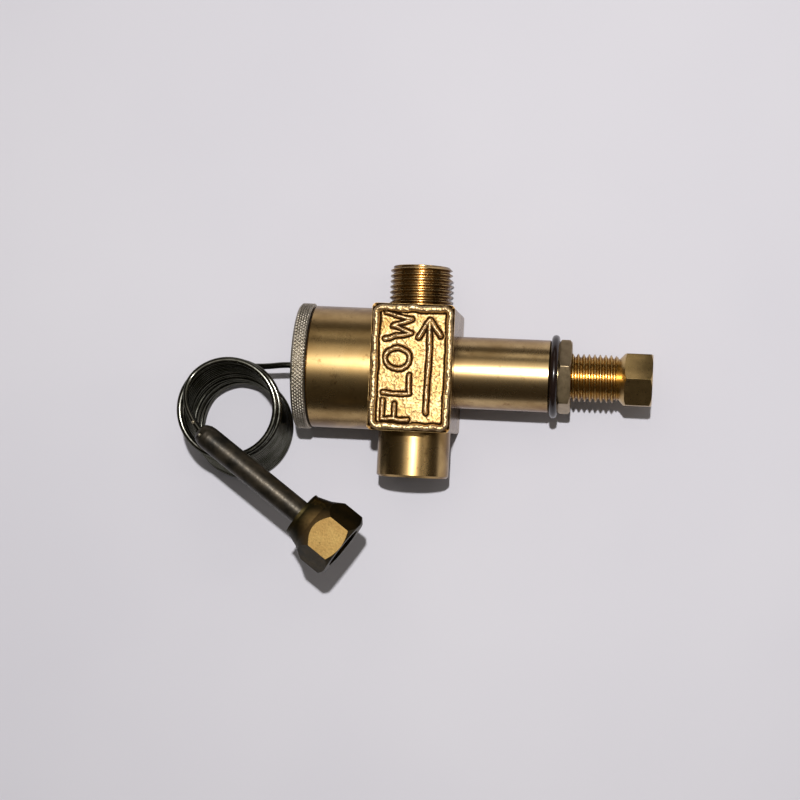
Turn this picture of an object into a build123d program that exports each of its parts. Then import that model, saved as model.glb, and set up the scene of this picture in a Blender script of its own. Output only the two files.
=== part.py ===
from build123d import *
import math
import os

os.makedirs("parts", exist_ok=True)

# Pressure-sensing relief valve, in millimetres.
# Origin at the centre of the inlet mouth. +Y runs along the flow, from inlet to outlet, +X runs
# along the main axis towards the adjusting screw, and +Z points up from the face that it lies on.

# ---------------------------------------------------------------- driving dimensions
axis_y = 35.8  # main axis, measured along the flow from the inlet mouth
table_z = -21.1  # the face that the valve lies on

block_half_x = 13.3
block_half_y = 20.5
block_top = 22.3
block_corner_r = 1.2
block_edge_r = 0.8
frame_width = 2.2  # raised frame round the cast panel
field_depth = 1.6
arrow_x = 5.75  # flow arrow on the panel, about the main axis
arrow_tail_y = -14.4
arrow_tip_y = 15.9
arrow_height = 1.3
arrow_width = 1.6
barb_reach_x = 3.45
barb_reach_y = 5.7

housing_r = 20.4  # bellows housing
housing_left = -34.9
cap_r = 21.1
cap_left = -39.8
cap_gap = 0.3  # thread relief between cap and housing
cap_bore_r = 17.5
cap_spigot_r = 17.4
cap_hollow_r = 13.0
cap_hole_r = 1.3  # the capillary passes through here
chamber_r = 16.0

inlet_r = 12.05
pipe_crest_r = 10.4775  # G 1/2: major diameter 20.955, minor 18.631, 14 threads an inch
pipe_root_r = 9.3155
pipe_pitch = 1.814
inlet_depth = 15.0
outlet_end = 70.6
outlet_floor = 57.0
outlet_bore_r = 7.5
inlet_passage_r = 3.2
outlet_passage_r = 2.5
passage_x = 5.75  # inlet passage at -X, outlet passage at +X of the flow axis
passage_length = 16.0

tube_r = 12.0  # spring housing
tube_right = 44.7
neck_r = 11.3
neck_right = 47.3
spigot_r = 10.9
spring_bore_r = 9.0
sleeve_bore_r = 8.6

screw_crest_r = 7.95  # adjusting screw, 5/8 in with 14 threads an inch
screw_root_r = 6.79
thread_land = 0.3
thread_clearance = 0.11
screw_tip = 40.9
lock_nut_right = 51.5
lock_nut_flats = 22.0
lock_nut_turn = 16.0
head_left = 69.1
head_right = 78.2
head_flats = 17.0
head_cone = 1.8  # length of the cone between the thread's relief and the head
head_cone_r = 8.7

# Stations of the working parts along the main axis
cap_web = -36.5
head_boss_left = -33.0
head_plate_left = -31.0
bellows_left = -29.5
gasket_face = -29.0
bellows_right = -20.5
pad_floor = -19.5
pad_right = -18.4
chamber_right = -16.0
lower_groove_x = -12.5
lower_bush_right = -9.0
seat_left = -2.5
stem_shoulder = 1.6
seat_face = 3.0
disc_seal_right = 4.5
disc_right = 7.0
disc_nut_right = 9.4
port_right = 8.5
sleeve_left = 9.0
upper_bush_left = 12.0
upper_groove_x = 14.5
upper_bush_right = 17.0
stem_spigot_left = 17.3
spring_left = 19.3
stem_right = 21.3
spring_seat_left = 34.0
spring_right = 36.0
spring_seat_right = 38.5
ball_x = 39.5
spring_bore_right = 42.0

stem_r = 3.0
stem_bore_r = 3.05
stem_spigot_r = 2.0
stem_fit = 0.02  # radial clearance of the pieces clamped on the stem
stem_collar_r = 3.8
press_r = 4.98  # guide bushes
press_bore_r = 5.0
groove_r = 4.25
groove_half = 0.7
seal_section_r = 0.6
seal_ring_r = 3.63
seat_port_r = 5.5
seat_outer_r = 7.98
seat_bore_r = 8.0
lower_port_r = 7.5
port_r = 9.5
disc_seal_r = 7.0
disc_r = 7.6
spring_centring_r = 5.5
spring_seat_r = 8.4

bellows_wall = 0.4
bellows_outer_r = 14.0
bellows_inner_r = 10.5
convolutions = 4

spring_wire_r = 1.0
spring_turns = 4.5
spring_mean_r = 6.9
spring_gap = 0.05  # the ground ends of the coil and its seats
ball_r = 2.0
ball_fit = 0.05

capillary_r = 1.0
capillary_bore_r = 1.05  # in the pieces that it is brazed into

coil_r = 16.0  # centreline radius of the capillary coil
coil_bottom = (-61.7, 13.4, table_z)
coil_top = (-60.2, 20.1, 20.0)
stub_r = 4.0
stub_bore_r = 3.0
stub_start = Vector(-68.1, 12.0, 24.05)
stub_aim = Vector(0.811, -0.585, 0.0)
stub_length = 43.2  # from its swaged end to the back of the flare nut
flare_nut_flats = 20.0
flare_nut_length = 17.6
flare_nut_turn = -3.0
flare_nut_back_r = 7.7
flare_thread_r = 7.17  # 5/8-18 internal thread, minor radius
flare_r = 6.8

# ---------------------------------------------------------------- helpers
main_plane = Plane(origin=(0, axis_y, 0), x_dir=(1, 0, 0), z_dir=(0, 0, 1))
main_axis = Axis((0, axis_y, 0), (1, 0, 0))
flow_plane = Plane(origin=(0, 0, 0), x_dir=(0, 1, 0), z_dir=(0, 0, -1))
flow_axis = Axis((0, 0, 0), (0, 1, 0))
stub_plane = Plane(origin=stub_start, x_dir=stub_aim, z_dir=(0, 0, 1))
stub_axis = Axis(stub_start, stub_aim)


def turn(stations, plane=main_plane, axis=main_axis, mode=Mode.ADD):
    """Turns an outline of (station, radius) points about an axis."""
    with BuildSketch(plane) as outline:
        with BuildLine():
            Polyline(*stations, close=True)
        make_face()
    revolve(outline.sketch, axis=axis, mode=mode)


def ring(left, right, inner, outer, mode=Mode.ADD):
    """A plain ring, or a disc where the inner radius is 0, about the main axis."""
    turn([(left, inner), (left, outer), (right, outer), (right, inner)], mode=mode)


def cross_plane(station):
    """The plane across the main axis, with +Y and +Z as its own x and y."""
    return Plane(origin=(station, axis_y, 0), x_dir=(0, 1, 0), z_dir=(1, 0, 0))


def torus_ring(station, centre_r, section_r):
    """An O-ring about the main axis."""
    with BuildSketch(main_plane) as section:
        with Locations((station, centre_r)):
            Circle(section_r)
    revolve(section.sketch, axis=main_axis)


def thread_stations(start, end, crest_r, root_r):
    """Outline of a ring-type thread, from its first root to its last."""
    flank = (pipe_pitch - 2 * thread_land) / 2
    stations = []
    for thread in range(int((end - start) / pipe_pitch)):
        foot = start + thread * pipe_pitch
        stations.append((foot, root_r))
        stations.append((foot + flank, crest_r))
        stations.append((foot + flank + thread_land, crest_r))
        stations.append((foot + 2 * flank + thread_land, root_r))
    return stations


def path_radii(points):
    """Radii of the arcs that join straight runs, each as large as its two runs allow."""
    radii = []
    for before, here, after in zip(points, points[1:], points[2:]):
        run_in = Vector(here) - Vector(before)
        run_out = Vector(after) - Vector(here)
        half_turn = math.radians(run_in.get_angle(run_out)) / 2
        radii.append(0.45 * min(run_in.length, run_out.length) / math.tan(half_turn))
    print("arc radii", [round(radius, 1) for radius in radii])
    return radii


def save(part, name):
    part.label = name
    export_step(part, "parts/" + name + ".step")


# ---------------------------------------------------------------- body
body_bore = [
    (housing_left, 0),
    (housing_left, cap_bore_r),
    (gasket_face, cap_bore_r),
    (gasket_face, chamber_r),
    (chamber_right, chamber_r),
    (chamber_right, press_bore_r),
    (lower_bush_right, press_bore_r),
    (lower_bush_right, lower_port_r),
    (seat_left, lower_port_r),
    (seat_left, seat_bore_r),
    (seat_face, seat_bore_r),
    (seat_face, port_r),
    (port_right, port_r),
    (port_right, spigot_r),
    (block_half_x, spigot_r),
    (block_half_x, 0),
]

with BuildPart() as valve_body:
    with BuildSketch(Plane.XY.offset(table_z)):
        with Locations((0, axis_y)):
            RectangleRounded(2 * block_half_x, 2 * block_half_y, block_corner_r)
    extrude(amount=block_top - table_z)
    fillet(valve_body.edges().group_by(Axis.Z)[-1], radius=block_edge_r)
    fillet(valve_body.edges().group_by(Axis.Z)[0], radius=block_edge_r)
    with BuildSketch(Plane.XY.offset(block_top)):
        with Locations((0, axis_y)):
            RectangleRounded(
                2 * (block_half_x - frame_width), 2 * (block_half_y - frame_width), 1.5
            )
    extrude(amount=-field_depth, mode=Mode.SUBTRACT)
    with BuildSketch(Plane.XY.offset(block_top - field_depth)):
        with BuildLine():
            Line((arrow_x, axis_y + arrow_tail_y), (arrow_x, axis_y + arrow_tip_y))
        trace(line_width=arrow_width)
        with BuildLine():
            Polyline(
                (arrow_x - barb_reach_x, axis_y + arrow_tip_y - barb_reach_y),
                (arrow_x, axis_y + arrow_tip_y),
                (arrow_x + barb_reach_x, axis_y + arrow_tip_y - barb_reach_y),
            )
        trace(line_width=arrow_width)
    extrude(amount=arrow_height)
    turn([
        (housing_left, 0),
        (housing_left, housing_r - 0.5),
        (housing_left + 0.5, housing_r),
        (-10.0, housing_r),
        (-10.0, 0),
    ])
    turn([(0, 0), (0, inlet_r - 0.7), (0.7, inlet_r), (17.0, inlet_r), (17.0, 0)], flow_plane, flow_axis)
    outlet_thread = thread_stations(57.2, outlet_end - 0.4, pipe_crest_r, pipe_root_r)
    turn(
        [(55.0, 0), (55.0, pipe_root_r)] + outlet_thread + [(outlet_end, pipe_root_r), (outlet_end, 0)],
        flow_plane,
        flow_axis,
    )
    turn(body_bore, mode=Mode.SUBTRACT)
    turn(
        [(0, 0), (0, pipe_root_r), (inlet_depth, pipe_root_r), (inlet_depth, 0)],
        flow_plane,
        flow_axis,
        Mode.SUBTRACT,
    )
    turn(
        [(outlet_end, 0), (outlet_end, outlet_bore_r), (outlet_floor, outlet_bore_r), (outlet_floor, 0)],
        flow_plane,
        flow_axis,
        Mode.SUBTRACT,
    )
    with BuildSketch(Plane(origin=(-passage_x, inlet_depth, 0), z_dir=(0, 1, 0))):
        Circle(inlet_passage_r)
    extrude(amount=passage_length, mode=Mode.SUBTRACT)
    with BuildSketch(Plane(origin=(passage_x, outlet_floor, 0), z_dir=(0, -1, 0))):
        Circle(outlet_passage_r)
    extrude(amount=passage_length, mode=Mode.SUBTRACT)
save(valve_body.part, "valve_body")

# ---------------------------------------------------------------- bellows end
cap_face = housing_left - cap_gap
with BuildPart() as knurled_cap:
    turn([
        (cap_left, cap_hole_r),
        (cap_left, cap_r - 0.7),
        (cap_left + 0.7, cap_r),
        (cap_face - 0.5, cap_r),
        (cap_face, cap_r - 0.5),
        (cap_face, cap_spigot_r),
        (head_plate_left, cap_spigot_r),
        (head_plate_left, cap_hollow_r),
        (cap_web, cap_hollow_r),
        (cap_web, cap_hole_r),
    ])
save(knurled_cap.part, "knurled_cap")

with BuildPart() as bellows_head:
    ring(head_plate_left, bellows_left, capillary_bore_r, cap_spigot_r - 0.1)
    ring(head_boss_left, head_plate_left, capillary_bore_r, 3.0)
save(bellows_head.part, "bellows_head")

with BuildPart() as capillary_ferrule:
    turn([
        (head_boss_left - 2.2, capillary_bore_r),
        (head_boss_left - 2.2, 1.9),
        (head_boss_left - 1.7, 2.4),
        (head_boss_left, 2.4),
        (head_boss_left, capillary_bore_r),
    ])
save(capillary_ferrule.part, "capillary_ferrule")

with BuildPart() as bellows_gasket:
    ring(bellows_left, gasket_face, chamber_r + 0.1, cap_spigot_r)
save(bellows_gasket.part, "bellows_gasket")

with BuildPart() as bellows:
    fold = (bellows_right - bellows_left - 2 * bellows_wall) / (2 * convolutions)
    folds = []
    for step in range(2 * convolutions + 1):
        station = bellows_left + bellows_wall + step * fold
        folds.append((station, bellows_inner_r if step % 2 == 0 else bellows_outer_r))
    lift = bellows_wall * 2.2
    rims = [(station, radius + lift) for station, radius in reversed(folds)]
    turn(folds + rims)
    ring(bellows_left, bellows_left + bellows_wall + 0.05, bellows_inner_r, bellows_inner_r + 2.0)
    ring(bellows_right - bellows_wall - 0.05, bellows_right, 0, bellows_inner_r + lift)
save(bellows.part, "bellows")

with BuildPart() as bellows_pad:
    ring(bellows_right, pad_right, 0, 9.0)
    ring(pad_floor, pad_right, 0, stem_r + stem_fit, Mode.SUBTRACT)
save(bellows_pad.part, "bellows_pad")


def guide_bush(left, right, groove):
    """A bronze bush with a groove inside for the stem's O-ring."""
    ring(left, right, stem_bore_r, press_r)
    ring(groove - groove_half, groove + groove_half, stem_bore_r, groove_r, Mode.SUBTRACT)


with BuildPart() as lower_guide_bush:
    guide_bush(chamber_right, lower_bush_right, lower_groove_x)
save(lower_guide_bush.part, "lower_guide_bush")

with BuildPart() as lower_stem_seal:
    torus_ring(lower_groove_x, seal_ring_r, seal_section_r)
save(lower_stem_seal.part, "lower_stem_seal")

# ---------------------------------------------------------------- valve
with BuildPart() as seat_ring:
    turn([
        (seat_left, seat_port_r),
        (seat_left, seat_outer_r),
        (seat_face - 0.8, seat_outer_r),
        (seat_face - 0.8, seat_port_r + 1.0),
        (seat_face, seat_port_r + 0.6),
        (seat_face, seat_port_r),
    ])
save(seat_ring.part, "seat_ring")

with BuildPart() as valve_stem:
    turn([
        (pad_floor, 0),
        (pad_floor, stem_r - 0.4),
        (pad_floor + 0.4, stem_r),
        (stem_shoulder, stem_r),
        (stem_shoulder, stem_collar_r),
        (seat_face, stem_collar_r),
        (seat_face, stem_r),
        (stem_spigot_left, stem_r),
        (stem_spigot_left, stem_spigot_r),
        (stem_right, stem_spigot_r),
        (stem_right, 0),
    ])
save(valve_stem.part, "valve_stem")

with BuildPart() as disc_seal:
    ring(seat_face, disc_seal_right, stem_r + stem_fit, disc_seal_r)
save(disc_seal.part, "disc_seal")

with BuildPart() as valve_disc:
    ring(disc_seal_right, disc_right, stem_r + stem_fit, disc_r)
    ring(disc_seal_right - 0.9, disc_seal_right, disc_seal_r + 0.05, disc_r)
save(valve_disc.part, "valve_disc")

with BuildPart() as disc_nut:
    with BuildSketch(cross_plane(disc_right)):
        RegularPolygon(4.5, 6, major_radius=False)
    extrude(amount=disc_nut_right - disc_right)
    ring(disc_right, disc_nut_right, 0, stem_r + stem_fit, Mode.SUBTRACT)
save(disc_nut.part, "disc_nut")

# ---------------------------------------------------------------- spring housing
with BuildPart() as housing_gasket:
    ring(port_right, sleeve_left, port_r + 0.1, spigot_r - 0.1)
save(housing_gasket.part, "housing_gasket")

with BuildPart() as spring_housing:
    turn([
        (sleeve_left, sleeve_bore_r),
        (sleeve_left, spigot_r - 0.05),
        (block_half_x, spigot_r - 0.05),
        (block_half_x, tube_r),
        (tube_right - 0.5, tube_r),
        (tube_right, tube_r - 0.5),
        (tube_right, neck_r),
        (neck_right, neck_r),
        (neck_right, screw_crest_r + thread_clearance),
        (spring_bore_right, screw_crest_r + thread_clearance),
        (spring_bore_right, spring_bore_r),
        (upper_bush_right, spring_bore_r),
        (upper_bush_right, press_bore_r),
        (upper_bush_left, press_bore_r),
        (upper_bush_left, sleeve_bore_r),
    ])
save(spring_housing.part, "spring_housing")

with BuildPart() as upper_guide_bush:
    guide_bush(upper_bush_left, upper_bush_right, upper_groove_x)
save(upper_guide_bush.part, "upper_guide_bush")

with BuildPart() as upper_stem_seal:
    torus_ring(upper_groove_x, seal_ring_r, seal_section_r)
save(upper_stem_seal.part, "upper_stem_seal")

with BuildPart() as lower_spring_seat:
    ring(stem_spigot_left, spring_left, stem_spigot_r + stem_fit, spring_seat_r)
    ring(spring_left, stem_right, stem_spigot_r + stem_fit, spring_centring_r)
save(lower_spring_seat.part, "lower_spring_seat")

with BuildPart() as range_spring:
    spring_reach = spring_right - spring_left - 2 * (spring_wire_r + spring_gap)
    with BuildLine() as spring_line:
        Helix(
            pitch=spring_reach / spring_turns,
            height=spring_reach,
            radius=spring_mean_r,
            center=(spring_left + spring_wire_r + spring_gap, axis_y, 0),
            direction=(1, 0, 0),
        )
    spring_start = spring_line.line @ 0
    with BuildSketch(Plane(origin=spring_start, z_dir=spring_line.line % 0)):
        Circle(spring_wire_r)
    sweep(path=spring_line.line, is_frenet=True)
save(range_spring.part, "range_spring")

with BuildPart() as upper_spring_seat:
    ring(spring_right, spring_seat_right, 0, spring_seat_r + 0.2)
    ring(spring_seat_left, spring_right, 0, spring_centring_r)
    with Locations((ball_x, axis_y, 0)):
        Sphere(ball_r + ball_fit, mode=Mode.SUBTRACT)
save(upper_spring_seat.part, "upper_spring_seat")

with BuildPart() as thrust_ball:
    with Locations((ball_x, axis_y, 0)):
        Sphere(ball_r)
save(thrust_ball.part, "thrust_ball")

with BuildPart() as housing_o_ring:
    torus_ring((tube_right + neck_right) / 2, neck_r + 1.3, 1.28)
save(housing_o_ring.part, "housing_o_ring")

# ---------------------------------------------------------------- adjustment
with BuildPart() as lock_nut:
    with BuildSketch(cross_plane(neck_right)):
        RegularPolygon(lock_nut_flats / 2, 6, major_radius=False, rotation=lock_nut_turn)
    extrude(amount=lock_nut_right - neck_right)
    corner_r = lock_nut_flats / 2 / math.cos(math.radians(30))
    turn(
        [
            (neck_right, screw_crest_r + thread_clearance),
            (neck_right, corner_r - 1.2),
            (neck_right + 0.7, corner_r),
            (lock_nut_right - 0.7, corner_r),
            (lock_nut_right, corner_r - 1.2),
            (lock_nut_right, screw_crest_r + thread_clearance),
        ],
        mode=Mode.INTERSECT,
    )
save(lock_nut.part, "lock_nut")

with BuildPart() as adjusting_screw:
    with BuildSketch(cross_plane(head_left)):
        RegularPolygon(head_flats / 2, 6, major_radius=False, rotation=90)
    extrude(amount=head_right - head_left)
    head_corner_r = head_flats / 2 / math.cos(math.radians(30))
    turn(
        [
            (head_left, 0),
            (head_left, head_corner_r - 0.9),
            (head_left + 0.5, head_corner_r),
            (head_right - 0.7, head_corner_r),
            (head_right, head_corner_r - 1.2),
            (head_right, 0),
        ],
        mode=Mode.INTERSECT,
    )
    screw_thread = thread_stations(43.2, head_left - head_cone - 0.8, screw_crest_r, screw_root_r)
    turn(
        [(screw_tip + 0.85, 0), (screw_tip, 1.75), (screw_tip, 5.5), (42.2, screw_root_r)]
        + screw_thread
        + [(head_left - head_cone, screw_root_r), (head_left, head_cone_r), (head_left, 0)]
    )
save(adjusting_screw.part, "adjusting_screw")

# ---------------------------------------------------------------- capillary
# The route is outside the coil on its +Y side, and comes down to the coil's lowest turn.
lead_points = [
    (-30.5, axis_y, 0),
    (-38.0, axis_y, 0),
    (-45.0, axis_y + 0.1, -0.2),
    (-52.0, 35.0, -2.0),
    (-60.5, 35.0, -6.5),
    (-69.0, 32.3, -11.5),
    (-76.0, 26.5, -16.5),
    (-79.0, 19.0, -19.4),
    (-78.0, 11.8, -20.1),
]
with BuildPart() as capillary_lead:
    with BuildLine() as lead_line:
        FilletPolyline(*lead_points, radius=path_radii(lead_points))
    with BuildSketch(Plane(origin=lead_points[0], z_dir=(-1, 0, 0))):
        Circle(capillary_r)
    sweep(path=lead_line.line)
lead_solid = math.pi * capillary_r**2 * lead_line.wires()[0].length
print("lead volume over section times length", capillary_lead.part.volume / lead_solid)
save(capillary_lead.part, "capillary_lead")

with BuildPart() as capillary_coil:
    for coil_wall, coil_mode in ((coil_r + capillary_r, Mode.ADD), (coil_r - capillary_r, Mode.SUBTRACT)):
        with BuildSketch(Plane.XY.offset(coil_bottom[2])):
            with Locations(coil_bottom[:2]):
                Circle(coil_wall)
        with BuildSketch(Plane.XY.offset(coil_top[2])):
            with Locations(coil_top[:2]):
                Circle(coil_wall)
        loft(mode=coil_mode)
save(capillary_coil.part, "capillary_coil")

tail_points = [
    (-73.3, 30.0, 18.9),
    (-74.3, 24.2, 20.7),
    (-72.7, 18.6, 22.6),
    (-68.1, 12.0, 24.05),
    (-64.8, 9.6, 24.05),
]
with BuildPart() as capillary_tail:
    with BuildLine() as tail_line:
        FilletPolyline(*tail_points, radius=path_radii(tail_points))
    with BuildSketch(Plane(origin=tail_points[0], z_dir=tail_line.line % 0)):
        Circle(capillary_r)
    sweep(path=tail_line.line)
save(capillary_tail.part, "capillary_tail")

flare_start = stub_length + 5.0
with BuildPart() as stub_tube:
    turn(
        [
            (0, capillary_bore_r),
            (0, 2.2),
            (0.8, 3.1),
            (2.4, 3.8),
            (4.0, stub_r),
            (flare_start, stub_r),
            (flare_start + 2.8, flare_r),
            (flare_start + 2.8, flare_r - 1.2),
            (flare_start + 0.2, stub_bore_r),
            (4.5, stub_bore_r),
            (4.5, capillary_bore_r),
        ],
        stub_plane,
        stub_axis,
    )
save(stub_tube.part, "stub_tube")

nut_back = stub_start + stub_aim.normalized() * stub_length
nut_plane = Plane(origin=nut_back, x_dir=Vector(0, 0, 1).cross(stub_aim), z_dir=stub_aim)
nut_corner_r = flare_nut_flats / 2 / math.cos(math.radians(30))
nut_end = stub_length + flare_nut_length
with BuildPart() as flare_nut:
    with BuildSketch(nut_plane):
        RegularPolygon(flare_nut_flats / 2, 6, major_radius=False, rotation=flare_nut_turn)
    extrude(amount=flare_nut_length)
    turn(
        [
            (stub_length, 0),
            (stub_length, flare_nut_back_r),
            (stub_length + 1.0, flare_nut_back_r),
            (stub_length + 5.2, flare_nut_back_r + 1.5),
            (stub_length + 9.1, nut_corner_r),
            (nut_end - 1.4, nut_corner_r),
            (nut_end, nut_corner_r - 1.6),
            (nut_end, 0),
        ],
        stub_plane,
        stub_axis,
        Mode.INTERSECT,
    )
    turn(
        [
            (stub_length, 0),
            (stub_length, stub_r + 0.1),
            (stub_length + 4.8, stub_r + 0.1),
            (stub_length + 7.9, flare_thread_r),
            (nut_end, flare_thread_r),
            (nut_end, 0),
        ],
        stub_plane,
        stub_axis,
        Mode.SUBTRACT,
    )
save(flare_nut.part, "flare_nut")
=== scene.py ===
"""The looks of the pressure relief valve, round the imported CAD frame. Lengths are in metres."""

import math

import bmesh
import bpy
import numpy as np
from mathutils import Matrix, Vector


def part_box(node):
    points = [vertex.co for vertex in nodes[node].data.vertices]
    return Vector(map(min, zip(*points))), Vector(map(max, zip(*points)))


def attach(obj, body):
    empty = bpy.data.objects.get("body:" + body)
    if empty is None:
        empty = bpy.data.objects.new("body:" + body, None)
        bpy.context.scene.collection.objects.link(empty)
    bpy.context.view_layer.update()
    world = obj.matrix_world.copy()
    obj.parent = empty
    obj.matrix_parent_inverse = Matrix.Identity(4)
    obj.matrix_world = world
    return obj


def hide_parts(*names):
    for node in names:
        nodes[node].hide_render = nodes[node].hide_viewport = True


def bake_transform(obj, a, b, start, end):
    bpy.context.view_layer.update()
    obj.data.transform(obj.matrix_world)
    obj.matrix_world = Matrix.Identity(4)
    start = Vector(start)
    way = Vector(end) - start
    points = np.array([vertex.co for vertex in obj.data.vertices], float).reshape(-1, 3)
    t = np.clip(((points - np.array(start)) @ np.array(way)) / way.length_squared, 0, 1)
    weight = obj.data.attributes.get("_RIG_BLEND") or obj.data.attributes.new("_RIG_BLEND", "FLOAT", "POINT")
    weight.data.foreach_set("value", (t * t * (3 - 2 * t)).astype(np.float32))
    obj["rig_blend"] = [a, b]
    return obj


MM = 0.001
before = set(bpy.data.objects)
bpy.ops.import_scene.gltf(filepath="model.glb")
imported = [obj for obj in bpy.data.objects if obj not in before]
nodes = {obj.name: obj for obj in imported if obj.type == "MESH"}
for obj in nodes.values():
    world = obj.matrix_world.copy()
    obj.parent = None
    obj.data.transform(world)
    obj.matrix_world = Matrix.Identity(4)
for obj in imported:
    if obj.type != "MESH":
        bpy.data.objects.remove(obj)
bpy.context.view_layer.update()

# ---------------------------------------------------------------- places, from the frame
body_low, body_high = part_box("valve_body")
cap_low, cap_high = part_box("knurled_cap")
screw_low, screw_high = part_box("adjusting_screw")
spring_low, spring_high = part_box("range_spring")
AXIS_Y = (cap_low.y + cap_high.y) / 2  # the main axis, which lies along X
TABLE_Z = body_low.z


# ---------------------------------------------------------------- small helpers
WORN_ANGLE = math.radians(22)  # edges sharper than this are the ones that wear


def value_noise(x, y, size, seed):
    """Smooth noise from 0 to 1 whose blobs are about size across."""
    cells = 64
    grid = np.random.default_rng(seed).random((cells, cells))
    u, v = x / size, y / size
    i, j = np.floor(u).astype(int), np.floor(v).astype(int)
    a, b = u - i, v - j
    a, b = a * a * (3 - 2 * a), b * b * (3 - 2 * b)
    i0, j0, i1, j1 = i % cells, j % cells, (i + 1) % cells, (j + 1) % cells
    low = grid[i0, j0] * (1 - a) + grid[i1, j0] * a
    high = grid[i0, j1] * (1 - a) + grid[i1, j1] * a
    return low * (1 - b) + high * b


def grid_faces(rows, columns, closed):
    """Faces of a grid of points, row by row, joined up along each row where closed."""
    faces = []
    for r in range(rows - 1):
        for c in range(columns if closed else columns - 1):
            n = (c + 1) % columns
            faces.append((r * columns + c, r * columns + n, (r + 1) * columns + n, (r + 1) * columns + c))
    return faces


def mesh_piece(name, points, faces):
    """A smooth-shaded object made from points and faces, with its normals outwards."""
    mesh = bpy.data.meshes.new(name)
    mesh.from_pydata([tuple(p) for p in points], [], faces)
    mesh.validate()
    bm = bmesh.new()
    bm.from_mesh(mesh)
    bmesh.ops.recalc_face_normals(bm, faces=bm.faces)
    bm.to_mesh(mesh)
    bm.free()
    mesh.polygons.foreach_set("use_smooth", [True] * len(mesh.polygons))
    piece = bpy.data.objects.new(name, mesh)
    bpy.context.scene.collection.objects.link(piece)
    return piece


def round_piece(name, along, station, radius, turn):
    """A surface about the main axis (X) or the flow axis (Y), from its radius at each station and turn."""
    a, b = radius * np.cos(turn), radius * np.sin(turn)
    rows, columns = a.shape
    station = np.broadcast_to(station, a.shape)
    x_y_z = (station, AXIS_Y + a, b) if along == "X" else (a, station, b)
    return mesh_piece(name, np.stack(x_y_z, -1).reshape(-1, 3), grid_faces(rows, columns, True))


def full_turn(count):
    """Angles once round, as a row."""
    return np.linspace(0, 2 * math.pi, count, endpoint=False)[None, :]


def wear(bm, where, width):
    """Rounds off the sharp edges whose ends lie where told."""
    sharp = [e for e in bm.edges if e.is_manifold and e.calc_face_angle() > WORN_ANGLE]
    sharp = [e for e in sharp if all(where(v.co) for v in e.verts)]
    settings = {"segments": 2, "profile": 0.6, "affect": "EDGES", "clamp_overlap": True}
    bmesh.ops.bevel(bm, geom=sharp, offset=width, **settings)


def copy_of(node, name, outside=None, worn=None, width=0.0):
    """A copy of a CAD node's mesh, without the faces whose corners are all outside."""
    mesh = nodes[node].data.copy()
    mesh.name = name
    bm = bmesh.new()
    bm.from_mesh(mesh)
    if worn is not None:
        bmesh.ops.remove_doubles(bm, verts=bm.verts, dist=1e-7)
        wear(bm, worn, width)
    if outside is not None:
        doomed = [f for f in bm.faces if all(outside(v.co) for v in f.verts)]
        bmesh.ops.delete(bm, geom=doomed, context="FACES")
    bm.to_mesh(mesh)
    bm.free()
    piece = bpy.data.objects.new(name, mesh)
    bpy.context.scene.collection.objects.link(piece)
    return piece


def join(pieces, name):
    """Joins pieces into the first, which takes the name."""
    bpy.ops.object.select_all(action="DESELECT")
    for piece in pieces:
        piece.select_set(True)
    bpy.context.view_layer.objects.active = pieces[0]
    bpy.ops.object.join()
    pieces[0].name = name
    return pieces[0]


def shade_by_angle(piece, degrees):
    """Smooth shading with sharp edges where faces meet at more than the angle."""
    mesh = piece.data
    mesh.polygons.foreach_set("use_smooth", [True] * len(mesh.polygons))
    mesh.set_sharp_from_angle(angle=math.radians(degrees))


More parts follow.
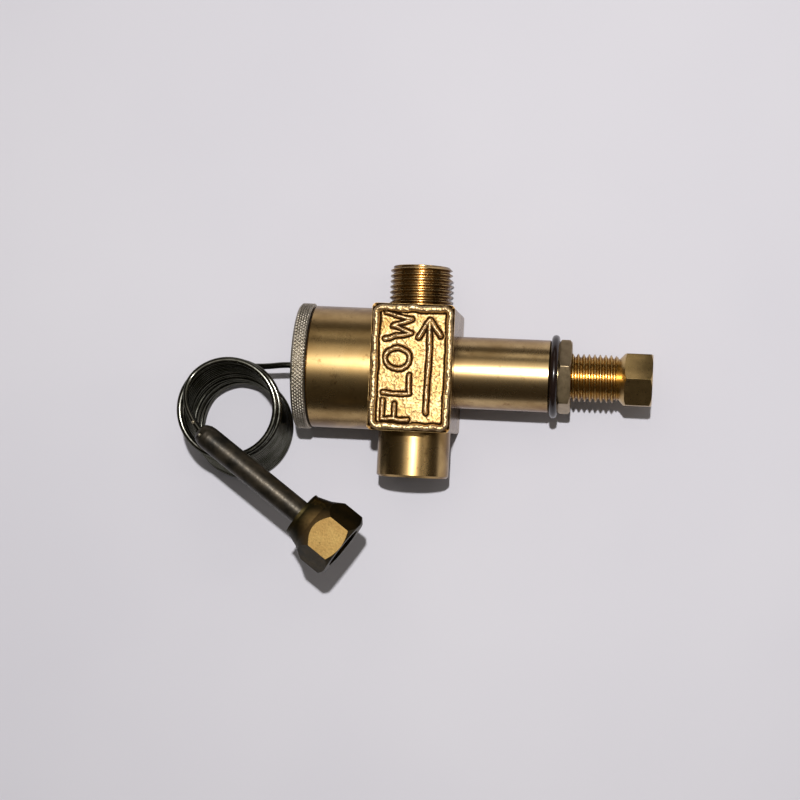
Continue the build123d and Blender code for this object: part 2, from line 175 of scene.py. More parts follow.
# ---------------------------------------------------------------- materials
class Shader:
    """A node material being put together."""

    def __init__(self, name):
        self.material = bpy.data.materials.new(name)
        self.material.use_nodes = True
        self.tree = self.material.node_tree
        self.surface = self.tree.nodes["Principled BSDF"]
        self.where = self.node("ShaderNodeTexCoord").outputs["Object"]

    def node(self, kind, **settings):
        """A new node of a kind, with its settings."""
        made = self.tree.nodes.new(kind)
        for key, value in settings.items():
            setattr(made, key, value)
        return made

    def link(self, output, socket):
        self.tree.links.new(output, socket)

    def set(self, **values):
        """Constants straight on the surface's sockets."""
        for key, value in values.items():
            self.surface.inputs[key.replace("_", " ")].default_value = value

    def scaled(self, x, y, z):
        """Object coordinates, in metres, scaled along each axis."""
        mapping = self.node("ShaderNodeMapping")
        mapping.inputs["Scale"].default_value = (x, y, z)
        self.link(self.where, mapping.inputs["Vector"])
        return mapping.outputs["Vector"]

    def height_of_normal(self):
        """1 where the surface faces up, 0 where it stands upright."""
        parts = self.node("ShaderNodeSeparateXYZ")
        self.link(self.node("ShaderNodeTexCoord").outputs["Normal"], parts.inputs[0])
        return parts.outputs[2]

    def noise(self, scale, detail, rough, vector=None, distortion=0.0):
        """Noise from 0 to 1, with a scale in blobs a metre unless it has a vector of its own."""
        made = self.node("ShaderNodeTexNoise")
        made.inputs["Scale"].default_value = scale
        made.inputs["Detail"].default_value = detail
        made.inputs["Roughness"].default_value = rough
        made.inputs["Distortion"].default_value = distortion
        self.link(self.where if vector is None else vector, made.inputs["Vector"])
        return made.outputs["Fac"]

    def ramp(self, value, *stops):
        """Colours, or greys, at places from 0 to 1."""
        made = self.node("ShaderNodeValToRGB")
        band = made.color_ramp
        while len(band.elements) < len(stops):
            band.elements.new(0.5)
        for element, (place, colour) in zip(band.elements, stops):
            element.position = place
            if isinstance(colour, (int, float)):
                colour = (colour, colour, colour)
            element.color = (*colour, 1.0)
        self.link(value, made.inputs["Fac"])
        return made.outputs["Color"]

    def mix(self, amount, first, second):
        """Two colours, each a value or an output, by an amount that is an output."""
        made = self.node("ShaderNodeMix", data_type="RGBA")
        self.link(amount, made.inputs[0])
        for socket, colour in ((made.inputs[6], first), (made.inputs[7], second)):
            if isinstance(colour, bpy.types.NodeSocket):
                self.link(colour, socket)
            else:
                socket.default_value = (*colour, 1.0)
        return made.outputs[2]

    def shade(self, value, start, end, first, second, most=1.0):
        """The first colour up to start, turned into the second, or most of the way, by end."""
        return self.mix(self.ramp(value, (start, 0.0), (end, most)), first, second)

    def bump(self, height, depth, strength, before=None):
        """A normal bent by a height, on top of an earlier bump's if there is one."""
        made = self.node("ShaderNodeBump")
        made.inputs["Strength"].default_value = strength
        made.inputs["Distance"].default_value = depth
        self.link(height, made.inputs["Height"])
        if before is not None:
            self.link(before, made.inputs["Normal"])
        return made.outputs["Normal"]

    def colour(self, output):
        self.link(output, self.surface.inputs["Base Color"])

    def roughness(self, output):
        self.link(output, self.surface.inputs["Roughness"])

    def normal(self, output):
        self.link(output, self.surface.inputs["Normal"])


def turned_brass(name, bright, dull, stain_and_side_shade, stains):
    """Brass turned on a lathe: fine rings about the X axis, clouds of tarnish, a few stains, and blotchy
    painted shade on its upright sides.
    """
    shader = Shader(name)
    shader.set(Metallic=1.0)
    lines = shader.noise(1.0, 2.0, 0.5, shader.scaled(2600.0, 14.0, 14.0))
    clouds = shader.noise(55.0, 5.0, 0.62, distortion=0.4)
    spots = shader.noise(260.0, 6.0, 0.7)
    blotches = shader.noise(90.0, 4.0, 0.6, distortion=0.8)
    tarnished = shader.shade(clouds, 0.36, 0.66, bright, dull)
    spotted = shader.shade(spots, 0.58, 0.72, tarnished, stain_and_side_shade, stains)
    # Painted shade: faces that stand upright, such as the cylinders' sides seen from above, are darkened in
    # blotches towards the stain colour.
    sideways = shader.ramp(shader.height_of_normal(), (0.25, 1.0), (0.75, 0.0))
    blotchy_side_shade = shader.mix(sideways, (0.0, 0.0, 0.0), blotches)
    stained_and_side_shaded = shader.shade(blotchy_side_shade, 0.12, 0.5, spotted, stain_and_side_shade, 0.95)
    shader.colour(shader.shade(lines, 0.3, 0.75, stained_and_side_shaded, dull, 0.05))
    shader.roughness(shader.ramp(clouds, (0.3, 0.23), (0.7, 0.32)))
    shader.normal(shader.bump(lines, 0.8e-6, 0.4, shader.bump(spots, 6e-6, 0.5)))
    return shader.material


def cast_brass():
    """Rough cast brass, dark in its crevices and rubbed bright on its crests."""
    shader = Shader("cast brass")
    shader.set(Metallic=1.0)
    cavity = shader.node("ShaderNodeAttribute", attribute_name="cavity").outputs["Fac"]
    grain = shader.noise(900.0, 5.0, 0.65)
    clouds = shader.noise(150.0, 4.0, 0.6)
    gold = shader.shade(clouds, 0.35, 0.7, (0.84, 0.6, 0.27), (0.62, 0.37, 0.12))
    pitted = shader.mix(shader.ramp(grain, (0.36, 0.6), (0.5, 0.0)), gold, (0.3, 0.15, 0.045))
    crest = shader.shade(cavity, 0.53, 0.72, pitted, (0.82, 0.62, 0.37), 0.7)
    crevice = shader.ramp(cavity, (0.28, 1.0), (0.46, 0.0))
    shader.colour(shader.mix(crevice, crest, (0.045, 0.02, 0.007)))
    shader.roughness(shader.ramp(cavity, (0.3, 0.75), (0.5, 0.52), (0.7, 0.45)))
    shader.normal(shader.bump(grain, 9e-5, 0.8))
    return shader.material


def plain_metal(name, light, dark, metallic=1.0, rough=(0.3, 0.5), scale=300.0, depth=1e-5):
    """Metal with clouds of a second colour and a fine grain."""
    shader = Shader(name)
    shader.set(Metallic=metallic)
    clouds = shader.noise(scale, 5.0, 0.6)
    fine = shader.noise(scale * 7, 4.0, 0.6)
    shader.colour(shader.shade(clouds, 0.35, 0.65, light, dark))
    shader.roughness(shader.ramp(fine, (0.3, rough[0]), (0.7, rough[1])))
    shader.normal(shader.bump(fine, depth, 0.8))
    return shader.material


LIT_FLAT_SPOT = Vector((-21.6, -19.8, 34.0)) * MM  # the middle of the flare nut's flat that is painted bright where it faces up
LIT_FLAT_REACH = 16.0 * MM  # how far from there the painted light fades out


def forged_nut():
    """Brass painted dark as in shade, and lit where it faces up: the flat facing up near a spot is painted
    bright, with its own speckles and pits, and the upward part of the cone beside it a lighter painted
    brown.
    """
    shader = Shader("flare brass")
    shader.set(Metallic=1.0)
    away = shader.node("ShaderNodeVectorMath", operation="DISTANCE")
    shader.link(shader.where, away.inputs[0])
    away.inputs[1].default_value = LIT_FLAT_SPOT
    reach = shader.node("ShaderNodeMapRange")
    shader.link(away.outputs["Value"], reach.inputs["Value"])
    reach.inputs["From Max"].default_value = LIT_FLAT_REACH
    share = reach.outputs[0]
    upright = shader.height_of_normal()
    nothing = (0.0, 0.0, 0.0)
    clouds = shader.noise(160.0, 5.0, 0.6)
    grain = shader.noise(1500.0, 4.0, 0.6)
    pits = shader.noise(700.0, 2.0, 0.5)
    # Painted shade: this dark tone covers everything that doesn't face up, the side facets included.
    dark = shader.shade(clouds, 0.4, 0.7, (0.022, 0.019, 0.008), (0.06, 0.042, 0.014))
    # Painted half light: the part of the cone beside the flat that faces partly up is painted a lighter
    # brown.
    upward = shader.ramp(upright, (0.6, 0.0), (0.85, 1.0))
    beside = shader.mix(shader.ramp(share, (0.35, 0.9), (0.75, 0.0)), nothing, upward)
    shaded_sides_lit_cone = shader.mix(beside, dark, (0.4, 0.25, 0.095))
    # Painted highlight: the flat that faces up near the spot is painted bright; its speckles and pits are
    # its own.
    painted_lit_flat = shader.shade(clouds, 0.3, 0.7, (0.23, 0.154, 0.052), (0.175, 0.105, 0.034))
    speckled = shader.mix(shader.ramp(grain, (0.3, 0.5), (0.55, 0.0)), painted_lit_flat, (0.11, 0.062, 0.02))
    pitted = shader.mix(shader.ramp(pits, (0.25, 0.9), (0.3, 0.0)), speckled, (0.05, 0.03, 0.01))
    # Where the painted highlight goes: faces that point straight up near the spot.
    flat = shader.shade(share, 0.52, 0.6, upright, nothing)
    shader.colour(shader.shade(flat, 0.95, 0.99, shaded_sides_lit_cone, pitted))
    shader.roughness(shader.ramp(grain, (0.3, 0.42), (0.7, 0.56)))
    shader.normal(shader.bump(grain, 3.5e-5, 0.9))
    return shader.material


def oxide_black():
    """The capillary's dark oxide: bright along the top of a turn, dark at a grazing look."""
    shader = Shader("capillary black")
    shader.set(Metallic=1.0, Specular_Tint=(0.36, 0.36, 0.33, 1.0))
    clouds = shader.noise(120.0, 4.0, 0.6)
    fine = shader.noise(900.0, 3.0, 0.6)
    shader.colour(shader.shade(clouds, 0.35, 0.65, (0.17, 0.168, 0.145), (0.075, 0.075, 0.06)))
    shader.roughness(shader.ramp(fine, (0.3, 0.15), (0.7, 0.28)))
    return shader.material


def black_rubber():
    """Smooth black rubber with a slight shine."""
    shader = Shader("black rubber")
    fine = shader.noise(2200.0, 4.0, 0.6)
    shader.colour(shader.ramp(fine, (0.3, (0.009, 0.005, 0.004)), (0.7, (0.018, 0.01, 0.008))))
    shader.roughness(shader.ramp(fine, (0.3, 0.16), (0.7, 0.26)))
    shader.normal(shader.bump(fine, 6e-6, 0.6))
    return shader.material


MATERIALS = {
    "body": turned_brass(
        "body brass", (0.62, 0.43, 0.19), (0.38, 0.24, 0.09), (0.16, 0.085, 0.028), stains=0.8
    ),
    "housing": turned_brass(
        "housing brass", (0.64, 0.46, 0.23), (0.4, 0.26, 0.11), (0.18, 0.09, 0.03), stains=0.7
    ),
    "screw": turned_brass(
        "screw brass", (0.72, 0.49, 0.18), (0.54, 0.34, 0.11), (0.3, 0.17, 0.05), stains=0.2
    ),
    "inner": turned_brass(
        "inner brass", (0.66, 0.48, 0.23), (0.52, 0.36, 0.15), (0.4, 0.26, 0.1), stains=0.2
    ),
    "head": plain_metal(
        "head brass", (0.6, 0.42, 0.18), (0.48, 0.33, 0.135), rough=(0.26, 0.36), depth=3e-6
    ),
    "nut": plain_metal(
        "nut brass", (0.42, 0.32, 0.19), (0.28, 0.21, 0.12), rough=(0.3, 0.42), depth=4e-6
    ),
    "cap": plain_metal(
        "nickel silver", (0.5, 0.45, 0.37), (0.33, 0.29, 0.22), rough=(0.3, 0.44), scale=500.0
    ),
    "stub": plain_metal(
        "stub bronze", (0.058, 0.046, 0.03), (0.014, 0.012, 0.008), metallic=0.6, scale=180.0, depth=4e-5
    ),
    "braze": plain_metal("braze", (0.6, 0.55, 0.42), (0.4, 0.33, 0.2), rough=(0.25, 0.4)),
    "steel": plain_metal("steel", (0.55, 0.55, 0.55), (0.4, 0.4, 0.4)),
    "cast": cast_brass(),
    "flare": forged_nut(),
    "capillary": oxide_black(),
    "rubber": black_rubber(),
}
# The nodes that keep their CAD mesh and aren't of the inner pieces' brass.
FINISHES = {
    "spring_housing": "housing",
    "housing_o_ring": "rubber",
    "lower_stem_seal": "rubber",
    "upper_stem_seal": "rubber",
    "disc_seal": "rubber",
    "bellows_gasket": "rubber",
    "housing_gasket": "rubber",
    "valve_stem": "steel",
    "thrust_ball": "steel",
    "stub_tube": "stub",
    "flare_nut": "flare",
    "capillary_ferrule": "braze",
}


def dress(piece, finish):
    """Gives a piece one material."""
    piece.data.materials.clear()
    piece.data.materials.append(MATERIALS[finish])


def dress_nodes():
    """Gives every CAD node its material, in each slot that its mesh has."""
    for name, node in nodes.items():
        finish = MATERIALS[FINISHES.get(name, "inner")]
        if not node.data.materials:
            node.data.materials.append(finish)
        for place in range(len(node.data.materials)):
            node.data.materials[place] = finish


# ---------------------------------------------------------------- the cast panel
PANEL_HALF_X = 13.3 * MM
PANEL_HALF_Y = 20.5 * MM
PANEL_CORNER = 1.3 * MM
PANEL_TOP = body_high.z
CORE_X = PANEL_HALF_X - PANEL_CORNER  # where the rounded corners' centres are
CORE_Y = PANEL_HALF_Y - PANEL_CORNER
PANEL_STEP = 0.13 * MM  # between the height field's points
LIP_TOP = 0.9 * MM  # from the panel's top down to the start of its turned-down edge
LIP_DEPTH = 1.02 * MM
FIELD_DROP = 1.5 * MM
BORDER_CORNER = 3.2 * MM
BORDER_INSET = 1.2 * MM
BORDER_HALF = 1.15 * MM  # half the width of the raised border
STROKE_HALF = 0.54 * MM  # half the width of a letter's stroke
ARROW_HALF = 0.64 * MM
RAISED = 0.95 * MM  # height of the strokes above the field
LETTER_BASE_X = -0.4 * MM
LETTER_HEIGHT = 8.4 * MM
ARROW_X = 5.75 * MM
ARROW_TIP_Y = 15.9 * MM
ARROW_FOOT_Y = -14.4 * MM


def letter_strokes():
    """The word FLOW, read along +Y, as straight strokes about the panel's centre."""
    # Where each letter starts, and its strokes: along in millimetres, up as a share of its height.
    shapes = (
        (-17.0, ((0, 0, 0, 1), (0, 1, 6.2, 1), (0, 0.53, 4.8, 0.53))),
        (-8.6, ((0, 1, 0, 0), (0, 0, 6.0, 0))),
        (-0.6, oval_strokes(3.5)),
        (9.2, ((0, 1, 2.0, 0), (2.0, 0, 4.2, 0.72), (4.2, 0.72, 6.4, 0), (6.4, 0, 8.4, 1))),
    )
    strokes = []
    for start, shape in shapes:
        for u0, v0, u1, v1 in shape:
            strokes.append((
                LETTER_BASE_X - v0 * LETTER_HEIGHT,
                (start + u0) * MM,
                LETTER_BASE_X - v1 * LETTER_HEIGHT,
                (start + u1) * MM,
            ))
    return strokes


def oval_strokes(half_width, sides=16):
    """A letter O."""
    ring = []
    for k in range(sides + 1):
        turn = 2 * math.pi * k / sides
        ring.append((half_width * (1 - math.cos(turn)), 0.5 + 0.5 * math.sin(turn)))
    return tuple((*a, *b) for a, b in zip(ring, ring[1:]))


def arrow_strokes():
    """The arrow's shaft and its two barbs, cast a little unevenly."""
    return [
        (ARROW_X - 0.3 * MM, ARROW_FOOT_Y, ARROW_X, ARROW_TIP_Y),
        (ARROW_X - 3.6 * MM, ARROW_TIP_Y - 6.0 * MM, ARROW_X, ARROW_TIP_Y),
        (ARROW_X + 3.4 * MM, ARROW_TIP_Y - 5.4 * MM, ARROW_X, ARROW_TIP_Y),
    ]


def stroke_distance(x, y, strokes):
    """Distance from each point to the nearest stroke."""
    nearest = np.full(x.shape, 1.0)
    for x0, y0, x1, y1 in strokes:
        dx, dy = x1 - x0, y1 - y0
        t = np.clip(((x - x0) * dx + (y - y0) * dy) / (dx * dx + dy * dy), 0, 1)
        nearest = np.minimum(nearest, np.hypot(x - x0 - t * dx, y - y0 - t * dy))
    return nearest


def ridge(distance, half, height, trench):
    """A raised stroke with a rounded top and a narrow trench beside it."""
    top = height * np.sqrt(np.clip(1 - (distance / half) ** 2, 0, 1))
    beside = np.exp(-(((distance - half - 0.25 * MM) / (0.33 * MM)) ** 2))
    return top - trench * beside * (distance > half * 0.9)


def edge_distance(x, y):
    """Distance inwards from the panel's rectangle, with its corners rounded."""
    qx = np.abs(x) - (PANEL_HALF_X - BORDER_CORNER)
    qy = np.abs(y) - (PANEL_HALF_Y - BORDER_CORNER)
    outside = np.hypot(np.maximum(qx, 0), np.maximum(qy, 0))
    return BORDER_CORNER - outside - np.minimum(np.maximum(qx, qy), 0)


def uneven(x, y, height, size, seed):
    """Bumps and hollows of a height in all, about size across."""
    return height * (value_noise(x, y, size, seed) - 0.5)


def pitted(x, y, depth, size, seed, share):
    """Hollows only, where the noise is above a share."""
    return depth * np.clip(value_noise(x, y, size, seed) - share, 0, 1)


def panel_height(x, y):
    """Height of the cast surface above the block's full height."""
    xs = x + uneven(x, y, 0.55 * MM, 3.1 * MM, 1)
    ys = y + uneven(x, y, 0.55 * MM, 2.7 * MM, 2)
    field = -FIELD_DROP + uneven(x, y, 0.22 * MM, 4.0 * MM, 3)
    field = field + uneven(x, y, 0.16 * MM, 0.9 * MM, 4)
    field = field + uneven(x, y, 0.13 * MM, 0.42 * MM, 5)
    inwards = edge_distance(xs, ys)
    surface = field + ridge(np.abs(inwards - BORDER_INSET), BORDER_HALF, 1.4 * MM, 0.3 * MM)
    fall = 1.0 * MM  # over which the surface drops outside the border
    surface = np.where(inwards < 0, surface + fall * np.clip(inwards / fall, -1, 0), surface)
    letters = stroke_distance(xs, ys, letter_strokes())
    arrow = stroke_distance(xs, ys, arrow_strokes())
    for distance, half in ((letters, STROKE_HALF), (arrow, ARROW_HALF)):
        raised = field + ridge(distance, half, RAISED, 0.4 * MM)
        raised = np.maximum(raised, surface - 0.6 * MM)
        surface = np.where(distance < half + 0.9 * MM, raised, surface)
    worn = pitted(x, y, 0.5 * MM, 1.5 * MM, 8, 0.45) * (surface > -0.9 * MM)
    dents = pitted(x, y, 0.28 * MM, 0.7 * MM, 9, 0.6) * (surface > -1.2 * MM)
    return surface + uneven(x, y, 0.1 * MM, 0.6 * MM, 6) - worn - dents


def blurred(height, reach):
    """The heights averaged over a square about each point."""
    total = height
    for axis in (0, 1):
        before = np.repeat(np.take(total, [0], axis), reach, axis)
        after = np.repeat(np.take(total, [-1], axis), reach, axis)
        padded = np.concatenate([before, total, after], axis)
        size = height.shape[axis]
        total = sum(np.take(padded, range(k, k + size), axis) for k in range(2 * reach + 1))
        total = total / (2 * reach + 1)
    return total


def cast_panel():
    """The cast face of the block: a height field inside its outline, with a lip down its sides."""
    columns = int(2 * PANEL_HALF_X / PANEL_STEP) + 1
    rows = int(2 * PANEL_HALF_Y / PANEL_STEP) + 1
    xs = np.linspace(-PANEL_HALF_X, PANEL_HALF_X, columns)
    ys = np.linspace(-PANEL_HALF_Y, PANEL_HALF_Y, rows)
    x, y = np.meshgrid(xs, ys)
    # The grid is pressed inwards at the corners, so that its edge is the rounded outline.
    cx, cy = np.clip(x, -CORE_X, CORE_X), np.clip(y, -CORE_Y, CORE_Y)
    reach = np.maximum(np.hypot(x - cx, y - cy), 1e-9)
    square = np.maximum(np.abs(x - cx), np.abs(y - cy))
    pull = np.where(reach > 1e-8, square / reach, 1.0)
    x, y = cx + (x - cx) * pull, cy + (y - cy) * pull
    height = panel_height(x, y)
    # How far each point stands above or below its surroundings, as the material reads it.
    cavity = np.clip(0.5 + (height - blurred(height, 6)) / (1.0 * MM), 0, 1)
    points = np.stack([x, y + AXIS_Y, PANEL_TOP + height], -1).reshape(-1, 3)
    piece = mesh_piece("cast_panel", points, grid_faces(rows, columns, False))
    layer = piece.data.attributes.new("cavity", "FLOAT", "POINT")
    layer.data.foreach_set("value", cavity.reshape(-1).astype(np.float32))
    add_lip(piece)
    dress(piece, "cast")
    return piece


def add_lip(piece):
    """Turns the panel's edge down over the block's sides."""
    bm = bmesh.new()
    bm.from_mesh(piece.data)
    layer = bm.verts.layers.float["cavity"]
    edges = [e for e in bm.edges if e.is_boundary]
    for share, out in ((0.25, 0.22 * MM), (1.0, 0.12 * MM)):
        made = bmesh.ops.extrude_edge_only(bm, edges=edges)["geom"]
        verts = [v for v in made if isinstance(v, bmesh.types.BMVert)]
        edges = [e for e in made if isinstance(e, bmesh.types.BMEdge)]
        for v in verts:
            flat = Vector((v.co.x, v.co.y - AXIS_Y, 0))
            core = Vector((max(-CORE_X, min(CORE_X, flat.x)), max(-CORE_Y, min(CORE_Y, flat.y)), 0))
            edge = core + (flat - core).normalized() * (PANEL_CORNER + out)
            v.co = Vector((edge.x, edge.y + AXIS_Y, PANEL_TOP - LIP_TOP - share * LIP_DEPTH))
            v[layer] = 0.5
    bmesh.ops.recalc_face_normals(bm, faces=bm.faces)
    bm.to_mesh(piece.data)
    bm.free()
    piece.data.polygons.foreach_set("use_smooth", [True] * len(piece.data.polygons))


# ---------------------------------------------------------------- threads
PITCH = 1.814 * MM  # both external threads have 14 threads an inch
OUTLET_ROOT = 9.3155 * MM
OUTLET_CREST = 10.4775 * MM
OUTLET_LENGTH = 14.3 * MM  # of the outlet, from the block to its end
SCREW_ROOT = 6.79 * MM
SCREW_CREST = 7.95 * MM
SCREW_HEAD_LENGTH = 10.9 * MM
NEAR = 0.02 * MM  # the CAD thread's faces lie at the root radius to within this
THREAD_ROW = 0.09 * MM  # between a thread's rows of points


def thread_height(turns):
    """Share of the thread's depth at a number of turns along it: rounded roots, narrow crests."""
    place = turns - np.floor(turns)
    flank = np.clip((0.5 - np.abs(place - 0.5)) / 0.5, 0, 1)
    return np.clip((flank - 0.12) / 0.74, 0, 1)


def helical_thread(name, along, start, end, root, crest, fade_start, fade_end):
    """A right-hand external thread about the main axis (X) or the flow axis (Y)."""
    rows = int((end - start) / THREAD_ROW) + 1
    station = np.linspace(start, end, rows)[:, None]
    turn = full_turn(144)
    handed = 1 if along == "X" else -1
    turns = station / PITCH - handed * turn / (2 * math.pi)
    entry = np.clip((station - start) / fade_start, 0, 1) * np.clip((end - station) / fade_end, 0, 1)
    radius = root + (crest - root) * np.minimum(thread_height(turns), entry)
    radius = np.where((station <= start + 1e-9) | (station >= end - 1e-9), root, radius)
    return round_piece(name, along, station, radius, turn)


def valve_body_piece():
    """The body with its ring threads and flat panel taken off and a helical thread put on."""
    block_end = body_high.y - OUTLET_LENGTH

    def replaced(p):
        on_panel = p.z > PANEL_TOP - 2.0 * MM and abs(p.x) < PANEL_HALF_X + 0.05 * MM
        on_thread = p.y > block_end + 0.85 * MM and math.hypot(p.x, p.z) > OUTLET_ROOT - NEAR
        return on_panel or on_thread

    core = copy_of("valve_body", "valve_body_core", replaced)
    span = (block_end + 0.4 * MM, body_high.y)
    thread = helical_thread("outlet_thread", "Y", *span, OUTLET_ROOT, OUTLET_CREST, 1.6 * MM, 1.1 * MM)
    piece = join([core, thread], "valve_body_turned")
    dress(piece, "body")
    shade_by_angle(piece, 28)
    return piece


def adjusting_screw_piece():
    """The adjusting screw with a helical thread and the head's edges worn."""
    thread_end = screw_high.x - SCREW_HEAD_LENGTH

    def from_axis(p):
        return math.hypot(p.y - AXIS_Y, p.z)

    def replaced(p):
        along_thread = screw_low.x + 2.0 * MM < p.x < thread_end + 0.01 * MM
        return along_thread and SCREW_ROOT - NEAR < from_axis(p) < SCREW_CREST + 0.05 * MM

    def on_head(p):
        return p.x > thread_end + 0.5 * MM and from_axis(p) > 5.0 * MM

    core = copy_of("adjusting_screw", "adjusting_screw_core", replaced, on_head, 0.22 * MM)
    dress(core, "head")
    span = (screw_low.x + 1.3 * MM, thread_end)
    thread = helical_thread("screw_thread", "X", *span, SCREW_ROOT, SCREW_CREST, 1.2 * MM, 1.4 * MM)
    dress(thread, "screw")
    piece = join([core, thread], "adjusting_screw_turned")
    shade_by_angle(piece, 28)
    return piece


def lock_nut_piece():
    """The lock nut with its sharp edges worn round."""
    piece = copy_of("lock_nut", "lock_nut_worn", worn=lambda p: True, width=0.2 * MM)
    dress(piece, "nut")
    shade_by_angle(piece, 40)
    return piece


# ---------------------------------------------------------------- the knurled cap
KNURL_DEPTH = 0.42 * MM
KNURL_PITCH = 1.25 * MM
KNURL_SLANT = 0.8  # pitches round the rim for each pitch along it
CAP_RADIUS = 21.1 * MM
CAP_RIM = 4.6 * MM  # length of the knurled rim
CAP_CHAMFER = 0.6 * MM


def knurled_band():
    """The cap's rim with a diamond knurl between two chamfers."""
    edge_stations = np.array([0.0, 0.25]) * MM
    middle = np.linspace(0.5 * MM, CAP_RIM - 0.5 * MM, 31)
    station = np.concatenate([edge_stations, middle, CAP_RIM - edge_stations[::-1]])[:, None]
    turn = full_turn(1100)
    count = round(2 * math.pi * CAP_RADIUS / KNURL_PITCH)
    share = turn * count / (2 * math.pi)
    slant = station / KNURL_PITCH * KNURL_SLANT
    grooves = [np.abs(2 * ((share + sign * slant) % 1.0) - 1) for sign in (1, -1)]
    diamond = np.minimum(1.0, 1.9 * np.minimum(1 - grooves[0], 1 - grooves[1]))
    front = np.clip(station / (0.55 * MM), 0, 1)
    chamfer = np.minimum(front, np.clip((CAP_RIM - station) / (0.45 * MM), 0, 1))
    radius = CAP_RADIUS - CAP_CHAMFER * (1 - chamfer) - KNURL_DEPTH * (1 - diamond) * chamfer
    return round_piece("knurled_band", "X", cap_low.x + station, radius, turn)


def knurled_cap_piece():
    """The cap with its plain rim taken off and a knurled one put on."""
    kept_radius = CAP_RADIUS - 0.62 * MM

    def replaced(p):
        return math.hypot(p.y - AXIS_Y, p.z) > kept_radius

    core = copy_of("knurled_cap", "knurled_cap_core", replaced)
    piece = join([core, knurled_band()], "knurled_cap_rim")
    dress(piece, "cap")
    shade_by_angle(piece, 40)
    return piece


# ---------------------------------------------------------------- the capillary
WIRE = 2.0 * MM
COIL_RADIUS = 16.0 * MM
COIL_TURNS = 18.875
COIL_START = math.radians(188)
POINTS_A_TURN = 16
COIL_BOTTOM = Vector((-61.7, 13.4, -20.05)) * MM
COIL_TOP = Vector((-60.2, 20.1, 18.9)) * MM
# From inside the cap to the foot of the coil, and from its top to the stub tube, in millimetres.
LEAD_POINTS = (
    (-30.5, 35.8, 0),
    (-38.0, 35.8, 0),
    (-45.0, 35.9, -0.2),
    (-52.0, 35.0, -2.0),
    (-60.5, 35.0, -6.5),
    (-69.0, 32.3, -11.5),
    (-76.0, 26.5, -16.5),
    (-79.0, 19.0, -19.4),
)
TAIL_POINTS = (
    (-74.3, 24.2, 20.7),
    (-72.7, 18.6, 22.6),
    (-68.1, 12.0, 24.05),
    (-64.8, 9.6, 24.05),
)
# Loose turns: the first, the last, the angle in degrees, how far out in millimetres.
SLACK_TURNS = (
    (0.1, 2.3, 178.0, -1.1),
    (0.1, 2.6, 75.0, 1.3),
    (3.0, 4.2, 165.0, -0.8),
    (6.6, 7.9, 125.0, -1.1),
    (10.0, 11.0, 140.0, -0.7),
    (16.9, 17.9, 5.0, 1.2),
    (17.6, 18.3, 190.0, 0.6),
)


def slack(place, turn):
    """How far a loose turn stands out of the stack, or in, at a place along the winding."""
    out = 0.0
    for first, last, angle, reach in SLACK_TURNS:
        if first < place < last:
            eased = min(1.0, (place - first) / 0.3, (last - place) / 0.3)
            out += reach * MM * eased * max(0.0, math.cos(turn - math.radians(angle)))
    return out


def coil_points():
    """The coil's turns, counter-clockwise and rising, with a little unevenness in the winding."""
    chance = np.random.default_rng(7)
    count = round(COIL_TURNS * POINTS_A_TURN)
    control = COIL_RADIUS / math.cos(math.pi / POINTS_A_TURN)
    drift = np.cumsum(chance.normal(0, 0.03 * MM, count))
    drift = np.clip(drift, -0.2 * MM, 0.2 * MM)
    points = []
    for k in range(count):
        share = k / (count - 1)
        turn = COIL_START + 2 * math.pi * COIL_TURNS * share
        centre = COIL_BOTTOM.lerp(COIL_TOP, share)
        radius = control + drift[k] + slack(k / POINTS_A_TURN, turn)
        x, y = centre.x + radius * math.cos(turn), centre.y + radius * math.sin(turn)
        points.append((x, y, centre.z))
    return points


def capillary_piece():
    """The whole capillary as one wire: lead, coil and tail."""
    line = bpy.data.curves.new("capillary_line", "CURVE")
    line.dimensions = "3D"
    line.bevel_depth = WIRE / 2
    line.bevel_resolution = 5
    line.resolution_u = 6
    spline = line.splines.new("NURBS")
    lead = [tuple(value * MM for value in point) for point in LEAD_POINTS]
    tail = [tuple(value * MM for value in point) for point in TAIL_POINTS]
    points = lead + coil_points() + tail
    spline.points.add(len(points) - 1)
    for place, point in zip(spline.points, points):
        place.co = (*point, 1.0)
    spline.order_u = 3
    spline.use_endpoint_u = True
    line.use_fill_caps = True
    piece = bpy.data.objects.new("capillary", line)
    bpy.context.scene.collection.objects.link(piece)
    piece.data.materials.append(MATERIALS["capillary"])
    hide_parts("capillary_lead", "capillary_coil", "capillary_tail")
    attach(piece, "body")


BRAZE_BEADS = (((-70.1, 14.8, 24.7), 0.62), ((-67.2, 10.7, 27.5), 0.55))  # places and radii in millimetres


def braze_piece():
    """Two beads of braze where the capillary enters the stub tube."""
    beads = []
    for place, size in BRAZE_BEADS:
        spot = Vector(place) * MM
        bpy.ops.mesh.primitive_uv_sphere_add(segments=16, ring_count=10, radius=size * MM, location=spot)
        bpy.ops.object.transform_apply(location=True, rotation=False, scale=False)
        beads.append(bpy.context.object)
    piece = join(beads, "braze_beads")
    dress(piece, "braze")
    shade_by_angle(piece, 60)
    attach(piece, "body")


# ---------------------------------------------------------------- the range spring
SPRING_SEATED = 2.2 * MM  # the end turn, which stays flat on its seat


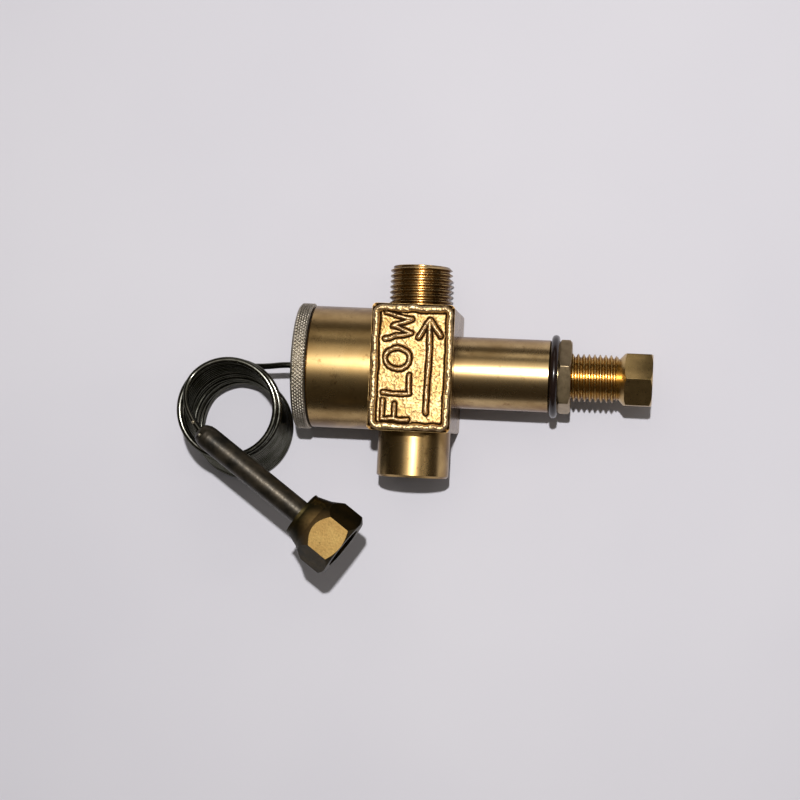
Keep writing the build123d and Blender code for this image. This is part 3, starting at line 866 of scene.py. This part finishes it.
def spring_half(lower):
    """The range spring on one side of its middle, which follows its own seat at the outer end."""
    piece = copy_of("range_spring", "spring_lower" if lower else "spring_upper")
    middle = (spring_low + spring_high) / 2
    bm = bmesh.new()
    bm.from_mesh(piece.data)
    everything = bm.verts[:] + bm.edges[:] + bm.faces[:]
    cleared = {"clear_outer": lower, "clear_inner": not lower}
    bmesh.ops.bisect_plane(bm, geom=everything, plane_co=middle, plane_no=(1, 0, 0), **cleared)
    bmesh.ops.holes_fill(bm, edges=[edge for edge in bm.edges if edge.is_boundary])
    bm.to_mesh(piece.data)
    bm.free()
    dress(piece, "steel")
    shade_by_angle(piece, 40)
    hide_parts("range_spring")
    centre = (middle.x, AXIS_Y, 0)
    if lower:
        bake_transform(piece, "stem", "body", (spring_low.x + SPRING_SEATED, AXIS_Y, 0), centre)
    else:
        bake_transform(piece, "body", "spring_follower", centre, (spring_high.x - SPRING_SEATED, AXIS_Y, 0))


# ---------------------------------------------------------------- stage
def floor():
    """The pale table that the valve lies on."""
    bpy.ops.mesh.primitive_plane_add(size=6.0, location=(0, 0, TABLE_Z))
    table = bpy.context.object
    table.name = "table"
    shader = Shader("pale table")
    shader.set(Metallic=0.0, Roughness=0.75)
    soft = shader.noise(6.0, 3.0, 0.5)
    shader.colour(shader.ramp(soft, (0.3, (0.685, 0.675, 0.728)), (0.7, (0.73, 0.72, 0.765))))
    table.data.materials.append(shader.material)


# Name, place from the middle of the body, size, power in watts, colour.
LAMPS = (
    ("key", (0.066, 0.119, 0.88), (0.018, 0.018), 6.55, (1.0, 0.985, 0.985)),
    ("ceiling", (0.02, 0.26, 0.95), (0.9, 0.9), 1.6, (1.0, 0.92, 0.82)),
    ("side", (0.75, 0.1, 0.8), (0.1, 0.3), 0.28, (1.0, 0.93, 0.86)),
    ("window", (-0.06, 1.05, 0.57), (0.4, 0.3), 0.3, (1.0, 0.95, 0.9)),
)


def lamp(name, offset, size, power, colour):
    """A rectangular lamp that faces the middle of the body."""
    light = bpy.data.lights.new(name, "AREA")
    light.shape = "RECTANGLE"
    light.size, light.size_y = size
    light.energy = power
    light.color = colour
    holder = bpy.data.objects.new(name, light)
    holder.location = Vector((0, AXIS_Y, 0)) + Vector(offset)
    aim = -Vector(offset)
    holder.rotation_euler = aim.to_track_quat("-Z", "Y").to_euler()
    bpy.context.scene.collection.objects.link(holder)


def room():
    """A faint fill from all round, with a warmer one that only reflections see."""
    world = bpy.data.worlds.new("room")
    bpy.context.scene.world = world
    world.use_nodes = True
    tree = world.node_tree
    tree.nodes.clear()
    output = tree.nodes.new("ShaderNodeOutputWorld")
    path = tree.nodes.new("ShaderNodeLightPath")
    chooser = tree.nodes.new("ShaderNodeMixShader")
    tree.links.new(path.outputs["Is Glossy Ray"], chooser.inputs["Fac"])
    fills = (((0.96, 0.97, 1.0, 1), 0.05), ((0.2, 0.16, 0.11, 1), 0.16))
    for socket, (colour, strength) in zip((chooser.inputs[1], chooser.inputs[2]), fills):
        fill = tree.nodes.new("ShaderNodeBackground")
        fill.inputs["Color"].default_value = colour
        fill.inputs["Strength"].default_value = strength
        tree.links.new(fill.outputs[0], socket)
    tree.links.new(chooser.outputs[0], output.inputs["Surface"])


CAMERA_DISTANCE = 0.638
CAMERA_AIM = Vector((-5.4, 25.7, 0.0)) * MM  # the point in the middle of the picture
CAMERA_WAY = Vector((0.1118, -0.0278, 0.9933))  # from that point to the camera
CAMERA_ROLL = math.radians(2.78)
CAMERA_LENS = 85.5


def camera():
    """The camera, with its picture's upright along +Y before it is rolled."""
    data = bpy.data.cameras.new("camera")
    data.lens = CAMERA_LENS
    data.sensor_width = 36.0
    data.clip_start = 0.01
    holder = bpy.data.objects.new("camera", data)
    back = CAMERA_WAY.normalized()
    right = Vector((0, 1, 0)).cross(back).normalized()
    up = back.cross(right)
    axes = Matrix((right, up, back)).transposed()
    axes = axes @ Matrix.Rotation(CAMERA_ROLL, 3, "Z")
    holder.matrix_world = Matrix.Translation(CAMERA_AIM + back * CAMERA_DISTANCE) @ axes.to_4x4()
    bpy.context.scene.collection.objects.link(holder)
    bpy.context.scene.camera = holder


# ---------------------------------------------------------------- making it
def replace_node(piece, node, body):
    """Puts a piece in the place of a CAD node."""
    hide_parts(node)
    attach(piece, body)


camera()
capillary_piece()
dress_nodes()
braze_piece()
replace_node(valve_body_piece(), "valve_body", "body")
panel = cast_panel()
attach(panel, "body")
replace_node(knurled_cap_piece(), "knurled_cap", "cap")
replace_node(adjusting_screw_piece(), "adjusting_screw", "screw")
replace_node(lock_nut_piece(), "lock_nut", "lock_nut")
spring_half(lower=True)
spring_half(lower=False)
floor()
for settings in LAMPS:
    lamp(*settings)
room()
bpy.context.scene.view_settings.view_transform = "Standard"
